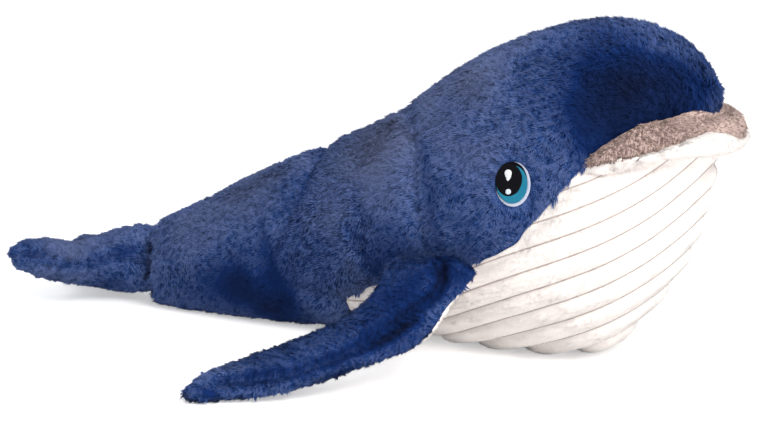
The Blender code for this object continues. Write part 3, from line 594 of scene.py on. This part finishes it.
BLUE = plush("blue_plush", (0.003, 0.010, 0.050, 1), (0.016, 0.051, 0.178, 1), (0.084, 0.128, 0.305, 1),
             (0.132, 0.158, 0.278, 1), (0.001, 0.018, 0.106, 1), 0.04)
# The stitched eye sits a little lower and further back than its place in the frame
EYE_SHIFT = (-0.0007, -0.0009)
EYE_MIDDLE = (0.0925 + EYE_SHIFT[0], 0.0935 + EYE_SHIFT[1])
EYE_HALF = (0.0090, 0.0110)
# Under the eye the pile is shorn away, and beside it the pile is short and parted, in parts of the eye's size
SHORN_FROM = 0.93
SHORN_WIDTH = 0.35
SHORN_LENGTH = 0.02
PARTING = 2.5
PARTING_WIDTH = 0.5


def round_eye(spots):
    """Each spot's distance from the eye's middle, where 1 is the eye's edge, and the way from it."""
    ahead = (spots[:, 0] - EYE_MIDDLE[0]) / EYE_HALF[0]
    rise = (spots[:, 2] - EYE_MIDDLE[1]) / EYE_HALF[1]
    return np.hypot(ahead, rise), ahead, rise


def shorn(spots):
    """No pile under the eye, and short pile beside it."""
    return np.clip((round_eye(spots)[0] - SHORN_FROM) / SHORN_WIDTH, SHORN_LENGTH, 1)


def parted(spots):
    """The pile lies away from the eye beside it."""
    away, ahead, rise = round_eye(spots)
    pull = PARTING * np.exp(-((away - 1) / PARTING_WIDTH) ** 2)
    return np.stack([pull * ahead, np.zeros(len(spots)), pull * rise], 1)


for number, (node, more) in enumerate((("tail_skin", {}), ("body_skin", {}),
                                       ("head_skin", {"share": shorn, "part": parted}))):
    panel = pile_piece(cut_panel(body_form, number), node.replace("_skin", "_plush"), BLUE, BLUE_PILE_REACH,
                       BLUE_LIE, PILE_LEAN, BLUE_LOCK, BLUE_SEED,
                       crease_shade=(along(*fold_lines), FOLD_SHADE, FOLD_SPREAD), **more)
    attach(panel, "stuffed_body")
    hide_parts(node)
    if node == "body_skin":
        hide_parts("body_filling")

# The white throat is quilted: rows of stitches climb from the hem to the lip and pull the short white pile
# into long ribs. It is cut from the same form as the blue panels, and its ribs stand a little fuller than
# their seams.
QUILT_THICKNESS = 0.003
WHITE_PILE_REACH = 0.00045
WHITE_LIE = (1.0, 0.0, -0.4)
WHITE_LEAN = 0.7
WHITE_LOCK = 0.0013
WHITE_SEED = 50
RIB_PITCH = 0.0108
RIB_DEPTH = 0.0022
RIB_FULLNESS = 0.0022
RIB_SHARPNESS = 2.2
# The ribs run out toward the seams with the hem and the lip
RIB_END = 0.006
QUILT_TUCK = 0.0003
QUILT_LIFT = 0.0006
# The height of one row of stitches along the whale's length: the others run above and below it
RIB_CLIMB = np.array([(-0.005, 0.0099), (0.070, 0.0393), (0.090, 0.0474), (0.111, 0.0576), (0.129, 0.0656),
                      (0.145, 0.0737), (0.157, 0.0818), (0.170, 0.0928), (0.1757, 0.1003)])
CLIMB = np.polyfit(RIB_CLIMB[:, 0], RIB_CLIMB[:, 1], 4)

throat = cut_panel(body_form, THROAT, thickness=QUILT_THICKNESS)
throat.normal_update()
spots = np.array([vert.co for vert in throat.verts])
level = (spots[:, 2] - np.polyval(CLIMB, spots[:, 0])) / RIB_PITCH
off_seam = np.abs(level - np.round(level)) * 2
for vert, rib in zip(throat.verts, off_seam):
    if vert.link_faces[0].material_index == 0:
        inside = 1 - math.exp(-(body_seams.find(vert.co)[2] / RIB_END) ** 2)
        full = RIB_FULLNESS - RIB_DEPTH * (1 - rib) ** RIB_SHARPNESS
        vert.co += vert.normal * (inside * full - QUILT_TUCK)
        vert.co.z = max(vert.co.z, QUILT_LIFT)


def white_plush(name, ribbed):
    """Short white pile, a little warm, darker toward its roots as painted shade, with a grey-brown line of
    stitches in each seam between ribs.
    """
    material, tree, shader = new_material(name)
    place = add(tree, "ShaderNodeTexCoord").outputs["Object"]
    tip = add(tree, "ShaderNodeAttribute", attribute_name="tip").outputs["Fac"]
    broad = add(tree, "ShaderNodeTexNoise", [("Vector", place), ("Scale", 28.0), ("Detail", 3.0)])
    fine = add(tree, "ShaderNodeTexNoise", [("Vector", place), ("Scale", 900.0), ("Detail", 2.0)])
    # Darker toward the roots: painted shade among them
    tone = add(tree, "ShaderNodeMath", [(0, fine.outputs["Fac"]), (1, 0.4), (2, tip)],
               operation="MULTIPLY_ADD")
    ramp = add(tree, "ShaderNodeValToRGB", [(0, tone.outputs[0])])
    ramp.color_ramp.elements[0].color = (0.78, 0.69, 0.66, 1)
    ramp.color_ramp.elements[0].position = 0.0
    ramp.color_ramp.elements[1].color = (0.92, 0.865, 0.835, 1)
    ramp.color_ramp.elements[1].position = 0.75
    patch = add(tree, "ShaderNodeMapRange", [(0, broad.outputs["Fac"]), ("From Min", 0.4), ("From Max", 0.7),
                                             ("To Max", 0.5)])
    colour = add(tree, "ShaderNodeMix", [("Factor", patch.outputs[0]), (6, ramp.outputs[0]),
                                         (7, (0.92, 0.86, 0.82, 1))], data_type="RGBA").outputs[2]
    if ribbed:
        split = add(tree, "ShaderNodeSeparateXYZ", [(0, place)])
        climb = float(CLIMB[0])
        for factor in CLIMB[1:]:
            step = add(tree, "ShaderNodeMath", [(0, split.outputs[0]), (1, climb), (2, float(factor))],
                       operation="MULTIPLY_ADD")
            climb = step.outputs[0]
        level = add(tree, "ShaderNodeMath", [(0, split.outputs[2]), (1, climb)], operation="SUBTRACT")
        level = add(tree, "ShaderNodeMath", [(0, level.outputs[0]), (1, RIB_PITCH)], operation="DIVIDE")
        level = add(tree, "ShaderNodeMath", [(0, level.outputs[0]), (1, 1.0)], operation="PINGPONG")
        level = add(tree, "ShaderNodeMath", [(0, level.outputs[0]), (1, 0.5)], operation="PINGPONG")
        thread = add(tree, "ShaderNodeMapRange", [(0, level.outputs[0]), ("From Min", 0.022),
                                                  ("From Max", 0.052), ("To Min", 0.75), ("To Max", 0.0)])
        colour = add(tree, "ShaderNodeMix", [("Factor", thread.outputs[0]), (6, colour),
                                             (7, (0.36, 0.27, 0.24, 1))], data_type="RGBA").outputs[2]
    tree.links.new(colour, shader.inputs["Base Color"])
    bump = add(tree, "ShaderNodeBump", [("Strength", 0.4), ("Distance", 0.0005),
                                        ("Height", fine.outputs["Fac"])])
    tree.links.new(bump.outputs[0], shader.inputs["Normal"])
    shader.inputs["Roughness"].default_value = 0.92
    shader.inputs["Specular IOR Level"].default_value = 0.2
    shader.inputs["Sheen Weight"].default_value = 0.2
    shader.inputs["Sheen Roughness"].default_value = 0.5
    return material


QUILTED = white_plush("quilted_white_plush", True)
WHITE = white_plush("white_plush", False)
throat = pile_piece(throat, "quilted_throat", QUILTED, WHITE_PILE_REACH, WHITE_LIE, WHITE_LEAN, WHITE_LOCK,
                    WHITE_SEED)
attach(throat, "stuffed_body")
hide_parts("throat_panel")

# The lip is a stuffed roll round the front of the mouth: taupe plush over the top, and a white rim under it
# where the throat is gathered in. Both are sewn to the head and throat along the mouth.
TAUPE = plush("taupe_plush", (0.085, 0.055, 0.048, 1), (0.345, 0.240, 0.215, 1), (0.625, 0.480, 0.435, 1),
              (0.480, 0.370, 0.335, 1), (0.280, 0.195, 0.175, 1), 0.10, locks=620.0, relief=0.65)
LIP_PILE_REACH = 0.0011
LIP_LIE = (0.3, 0.0, -1.0)
LIP_LEAN = 1.0
LIP_LOCK = 0.002
LIP_SEED = 60
LIP_GRAIN = 0.0012
LIP_ROUNDS = 10
LIP_PLUMP = 0.0016
LIP_EASE = 5
# How much of the form behind the mouth's corner is kept while the seams are drawn
LIP_REST = 0.006
LIP_TUCK = 0.0014
LIP_PULL = 0.0016
LIP_PULL_SPREAD = 0.0024
# The lip is drawn in under the nose: how far, along the whale's length
NOSE_CREASE = ((0.160, 0.172), (0.0, 0.0036))
NOSE_CREASE_SPREAD = 0.0042
# Between its seams the lip is full, and twice as full where it faces up
LIP_FULLNESS = 0.0008
LIP_FULL_FROM = 0.0030
LIP_TOP_FULLNESS = 2.0
LIP_TOP_SLOPE = 0.4
# The lip sinks under head and throat at the mouth's corner
LIP_SINK = ((0.1248, 0.1300), (0.0022, 0.0))
# Where stitches gather the rim, along the whale's length, and how far they stay below one seam and the other
GATHERS = (0.1370, 0.1485, 0.1590, 0.1670)
GATHER_START = 0.0028
GATHER_END = 0.001
GATHER_DEPTH = 0.0022
GATHER_SPREAD = 0.0016

lip = stuffed(SEWN, LIP_GRAIN, LIP_ROUNDS, LIP_PILE_REACH - LIP_PLUMP, LIP_FILLET)
settle(lip)
ease(lip, lip.verts, LIP_EASE)
behind = [face for face in lip.faces if face.calc_center_median().x < MOUTH_CORNER - LIP_REST]
bmesh.ops.delete(lip, geom=behind, context="FACES")
for face in lip.faces:
    face.material_index = HEAD
assign_front(lip, LIP_TUCK)
lip_seams = draw_seams(lip, LIP_PULL, LIP_PULL_SPREAD)
lip.normal_update()
for vert in lip.verts:
    away = nose_hem.find(vert.co)[2] / NOSE_CREASE_SPREAD
    vert.co -= vert.normal * float(np.interp(vert.co.x, *NOSE_CREASE)) * math.exp(-away * away)
lip.normal_update()
for vert in lip.verts:
    full = LIP_FULLNESS * (1 - math.exp(-(lip_seams.find(vert.co)[2] / LIP_FULL_FROM) ** 2))
    full *= LIP_TOP_FULLNESS if vert.normal.z > LIP_TOP_SLOPE else 1.0
    vert.co += vert.normal * (full - float(np.interp(vert.co.x, *LIP_SINK)))
sides = BVHTree.FromBMesh(lip)
for x in GATHERS:
    for side in (1, -1):
        line = []
        for z in (np.interp(x, *RIM_SEAM) - GATHER_START, np.interp(x, *THROAT_SEAM) - GATHER_END):
            spot = sides.ray_cast(Vector((x, side * -0.1, z)), Vector((0, side, 0)))[0]
            if spot:
                line.append(spot)
        if len(line) == 2:
            press(lip, line, GATHER_DEPTH, GATHER_SPREAD)
for number, node, name, material, slot, reach in (
        (LIP_TOP, "lip_lining", "lip_plush", TAUPE, "taupe_pile", LIP_PILE_REACH),
        (LIP_ROLL, "lip_rim", "lip_roll", WHITE, "white_pile", WHITE_PILE_REACH)):
    roll = pile_piece(cut_panel(lip, number), name, material, reach, LIP_LIE, LIP_LEAN, LIP_LOCK,
                      LIP_SEED + number, brushing_and_light_places=())
    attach(roll, "stuffed_body")
    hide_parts(node)
lip.free()

# Each fin is a long flat pillow, blue above and white below, sewn to the side behind the throat. A row of
# stitches down the middle parts it into a thin leading edge and a fuller back, and its end is turned in and
# tacked.
FIN_GRAIN = 0.0020
FIN_ROUNDS = 6
FIN_PILE_REACH = BLUE_PILE_REACH * 0.8
FIN_LIE = (-0.8, -0.7, -0.4)
FIN_SEED = 100
FIN_VALLEY = ((0.063, -0.077, 0.058), (0.065, -0.080, 0.050), (0.063, -0.083, 0.044), (0.053, -0.091, 0.037),
              (0.044, -0.100, 0.030), (0.035, -0.108, 0.025), (0.027, -0.116, 0.020), (0.013, -0.127, 0.015),
              (-0.004, -0.134, 0.013), (-0.022, -0.139, 0.010))
# A short second groove before it, where the leading edge is turned
FIN_GROOVE = ((0.056, -0.092, 0.035), (0.052, -0.095, 0.032), (0.043, -0.103, 0.026), (0.034, -0.111, 0.022))
# The tip is turned in, with a tack beside it
FIN_TACK = ((-0.0262, -0.1470, 0.0085), (-0.0232, -0.1465, 0.0062), (-0.0201, -0.1460, 0.0040))
# The fin is filled out this way, in full from this width ahead of the valley, and by this share behind it
FIN_LEAD = (0.60, -0.45, -0.50)
FIN_LEAD_WIDTH = 0.008
FIN_BACK_SHARE = 0.2
# How much fuller the front of the fin is, along the whale's length
FIN_FRONT_FULLNESS = (
    (-0.030, 0.000, 0.015, 0.040, 0.056, 0.068, 0.080),
    (0.0, 0.0016, 0.0034, 0.0046, 0.0110, 0.0145, 0.0),
)
# How far the blue top wraps round the front edge, along the whale's length
FIN_WRAP = ((0.0, 0.045, 0.056, 0.066, 0.074, 0.081), (0.010, 0.007, 0.0024, 0.0006, 0.0, 0.0036))
# The tip reaches out a little and is rounder than the frame's
FIN_TIP = (-0.034, -0.137, 0.005)
FIN_TIP_MOVE = (-0.0002, -0.0052, 0.0)
FIN_TIP_SPREAD = 0.014
FIN_TIP_SWELL = 0.0020
# The front corner of the root bulges forward and up
FIN_SHOULDER = (0.074, -0.074, 0.056)
FIN_SHOULDER_SPREAD = 0.012
FIN_SHOULDER_PUSH = Vector((0.0066, 0.0, 0.0030))
FIN_SEAM_PULL = 0.0010
FIN_SEAM_SPREAD = 0.0026
VALLEY_DEPTH = 0.0040
VALLEY_SPREAD = 0.0032
# The stitches draw the top cloth in, and the pile is short along them, with painted shade along them
STITCH_DEPTH = 0.0034
STITCH_SPREAD = 0.0016
GROOVE_SPREAD = 0.0014
TACK_DEPTH = 0.0040
TACK_SPREAD = 0.0030
STITCH_PILE = 0.3
STITCH_CLEAR = 0.0035
STITCH_SHADE = 1.3
STITCH_SHADE_SPREAD = 0.0030


def stitched(spots, stitches):
    """The pile is short along the stitches."""
    away = np.array([stitches.find(spot)[2] for spot in spots])
    return np.clip(away / STITCH_CLEAR, STITCH_PILE, 1)


for word, side in (("right", 1), ("left", -1)):
    nodes = [word + "_fin_" + part for part in ("top", "under", "filling")]
    form = stuffed(nodes, FIN_GRAIN, FIN_ROUNDS, FIN_PILE_REACH)
    valley, groove, tack = (mirrored(line, side) for line in (FIN_VALLEY, FIN_GROOVE, FIN_TACK))
    middle, stitches = along(valley), along(valley, groove, tack)
    points = (FIN_LEAD, FIN_TIP, FIN_TIP_MOVE, FIN_SHOULDER)
    lead, tip, tip_move, root = (Vector(point) for point in mirrored(points, side))
    lead.normalize()
    form.normal_update()
    for vert in form.verts:
        ahead = (vert.co - middle.find(vert.co)[0]).dot(lead)
        front = FIN_BACK_SHARE + (1 - FIN_BACK_SHARE) * min(1.0, max(0.0, ahead / FIN_LEAD_WIDTH))
        fuller = np.interp(vert.co.x, *FIN_FRONT_FULLNESS)
        end = math.exp(-((vert.co - tip).length / FIN_TIP_SPREAD) ** 2)
        shoulder = math.exp(-((vert.co - root).length / FIN_SHOULDER_SPREAD) ** 2)
        vert.co += (lead * fuller * front + FIN_SHOULDER_PUSH * shoulder
                    + tip_move * end + vert.normal * (FIN_TIP_SWELL * end))
        vert.co.z = max(vert.co.z, CLOTH_LIFT)
    assign_panels(form, nodes[:2], lambda spot: (np.interp(spot.x, *FIN_WRAP), 0.0))
    draw_seams(form, FIN_SEAM_PULL, FIN_SEAM_SPREAD)
    press(form, valley, VALLEY_DEPTH, VALLEY_SPREAD)
    for number, part, material, slot, reach in ((0, "top", BLUE, "blue_pile", FIN_PILE_REACH),
                                                (1, "under", WHITE, "white_pile", WHITE_PILE_REACH)):
        cloth = cut_panel(form, number)
        more = {}
        if part == "top":
            press(cloth, valley, STITCH_DEPTH, STITCH_SPREAD, way=Vector((0, 0, 1)))
            press(cloth, groove, STITCH_DEPTH, GROOVE_SPREAD, way=Vector((0, 0, 1)))
            press(cloth, tack, TACK_DEPTH, TACK_SPREAD)
            more = {"share": lambda spots: stitched(spots, stitches),
                    "crease_shade": (stitches, STITCH_SHADE, STITCH_SHADE_SPREAD)}
        panel = pile_piece(cloth, word + "_fin_" + part + "_plush", material, reach,
                           *mirrored([FIN_LIE], side), PILE_LEAN, BLUE_LOCK, FIN_SEED + 10 * number, **more)
        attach(panel, word + "_fin")
        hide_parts(nodes[number])
        if part == "top":
            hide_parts(nodes[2])
    form.free()

# The fluke is a flat pillow of blue plush on both sides, sewn across the end of the tail. Its leading edge is
# seamed, and the seam pulls a long valley beside it.
FLUKE_LIE = (-1.0, 0.0, -0.2)
FLUKE_SEED = 140
# Its underside sags and its top dips, each round a place along the whale's length, and its tips are lifted
FLUKE_SAG = 0.0050
FLUKE_SAG_MIDDLE = -0.148
FLUKE_SAG_SPREAD = 0.022
FLUKE_DIP = 0.0030
FLUKE_DIP_MIDDLE = -0.158
FLUKE_DIP_SPREAD = 0.010
FLUKE_TIP_LIFT = 0.0020
FLUKE_TIP_FROM = -0.166
FLUKE_TIP_LENGTH = 0.014
FLUKE_SEAM_PULL = 0.0016
FLUKE_SEAM_SPREAD = 0.0030
FLUKE_VALLEY = ((-0.174, -0.043, 0.031), (-0.162, -0.037, 0.027), (-0.155, -0.029, 0.022),
                (-0.143, -0.023, 0.025), (-0.129, -0.015, 0.031), (-0.115, -0.016, 0.037))
FLUKE_VALLEY_DEPTH = 0.0016
FLUKE_VALLEY_SPREAD = 0.0030
# Painted shade along the valleys: how dark, and how wide
FLUKE_SHADE = 0.8
FLUKE_SHADE_SPREAD = 0.0035

nodes = ["fluke_top", "fluke_under", "fluke_filling"]
form = stuffed(nodes, FIN_GRAIN, FIN_ROUNDS, FIN_PILE_REACH)
form.normal_update()
for vert in form.verts:
    under = max(0.0, -vert.normal.z) * math.exp(-((vert.co.x - FLUKE_SAG_MIDDLE) / FLUKE_SAG_SPREAD) ** 2)
    tip = min(1.0, max(0.0, (FLUKE_TIP_FROM - vert.co.x) / FLUKE_TIP_LENGTH))
    dip = max(0.0, vert.normal.z) * math.exp(-((vert.co.x - FLUKE_DIP_MIDDLE) / FLUKE_DIP_SPREAD) ** 2)
    vert.co.z += FLUKE_TIP_LIFT * tip - FLUKE_SAG * under - FLUKE_DIP * dip
assign_panels(form, nodes[:2])
draw_seams(form, FLUKE_SEAM_PULL, FLUKE_SEAM_SPREAD)
valleys = [mirrored(FLUKE_VALLEY, side) for side in (1, -1)]
for valley in valleys:
    press(form, valley, FLUKE_VALLEY_DEPTH, FLUKE_VALLEY_SPREAD)
for number in (0, 1):
    panel = pile_piece(cut_panel(form, number), nodes[number] + "_plush", BLUE, FIN_PILE_REACH, FLUKE_LIE,
                       PILE_LEAN, BLUE_LOCK, FLUKE_SEED + 10 * number,
                       crease_shade=(along(*valleys), FLUKE_SHADE, FLUKE_SHADE_SPREAD))
    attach(panel, "fluke")
    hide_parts(nodes[number])
    if number == 0:
        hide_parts(nodes[2])
form.free()

# The eyes are embroidered on the head in satin stitch: a white ground, a black lash line, a teal iris, a
# black pupil and two white glints, each layer of thread a little fuller than the one under it.
EYE_LAYERS = (
    ("white", "white_thread", 0.0004, (0.62, 0.66, 0.82, 1)),
    ("lash", "black_thread", 0.0008, (0.004, 0.004, 0.007, 1)),
    ("iris", "teal_thread", 0.0012, (0.022, 0.215, 0.340, 1)),
    ("pupil", "black_thread", 0.0016, (0.004, 0.004, 0.006, 1)),
    ("glint_upper", "white_thread", 0.0021, (0.85, 0.88, 0.93, 1)),
    ("glint_lower", "white_thread", 0.0021, (0.72, 0.80, 0.90, 1)),
)
STITCH_SWELL = 0.0006
IRIS_GROWTH = 1.05
GLINT_TAPER = 0.35


def satin(name, colour):
    """Satin stitch: fine upright threads side by side, with painted shade between them, and a soft shine."""
    material, tree, shader = new_material(name)
    place = add(tree, "ShaderNodeTexCoord").outputs["Object"]
    threads = add(tree, "ShaderNodeTexWave", [("Vector", place), ("Scale", 700.0), ("Distortion", 1.2),
                                              ("Detail", 1.0)], bands_direction="Z")
    # Darker between the threads: painted shade in the grooves between them
    dark = tuple(0.55 * value for value in colour[:3]) + (1,)
    blend = add(tree, "ShaderNodeMix", [("Factor", threads.outputs["Fac"]), (6, dark), (7, colour)],
                data_type="RGBA")
    tree.links.new(blend.outputs[2], shader.inputs["Base Color"])
    bump = add(tree, "ShaderNodeBump", [("Strength", 0.5), ("Distance", 0.0003),
                                        ("Height", threads.outputs["Fac"])])
    tree.links.new(bump.outputs[0], shader.inputs["Normal"])
    shader.inputs["Roughness"].default_value = 0.7
    shader.inputs["Specular IOR Level"].default_value = 0.05
    return material


threads = {layer: satin("eye_" + layer + "_thread", colour) for layer, _, _, colour in EYE_LAYERS}
ground = BVHTree.FromBMesh(body_form)
for word, side in (("right", -1), ("left", 1)):
    for layer, slot, level, _ in EYE_LAYERS:
        node = word + "_eye_" + layer
        low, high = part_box(node)
        middle = (low + high) / 2
        half = (high - low) / 2 * (IRIS_GROWTH if layer == "iris" else 1.0)
        taper = GLINT_TAPER if layer == "glint_upper" else 0.0
        stitches = bmesh.new()
        bmesh.ops.create_uvsphere(stitches, u_segments=40, v_segments=12, radius=1.0)
        for vert in stitches.verts:
            x = middle.x + EYE_SHIFT[0] + vert.co.x * half.x * (1 + taper * vert.co.y)
            z = middle.z + EYE_SHIFT[1] + vert.co.y * half.z * (1 + taper * (vert.co.y < 0))
            place, normal, _, _ = ground.ray_cast(Vector((x, side * 0.2, z)), Vector((0, -side, 0)))
            vert.co = place + normal * (level + vert.co.z * STITCH_SWELL)
        bmesh.ops.recalc_face_normals(stitches, faces=stitches.faces)
        eye = placed(stitches, node + "_stitches")
        eye.data.polygons.foreach_set("use_smooth", np.ones(len(eye.data.polygons), bool))
        eye.data.materials.append(threads[layer])
        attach(eye, "stuffed_body")
        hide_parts(node)
body_form.free()
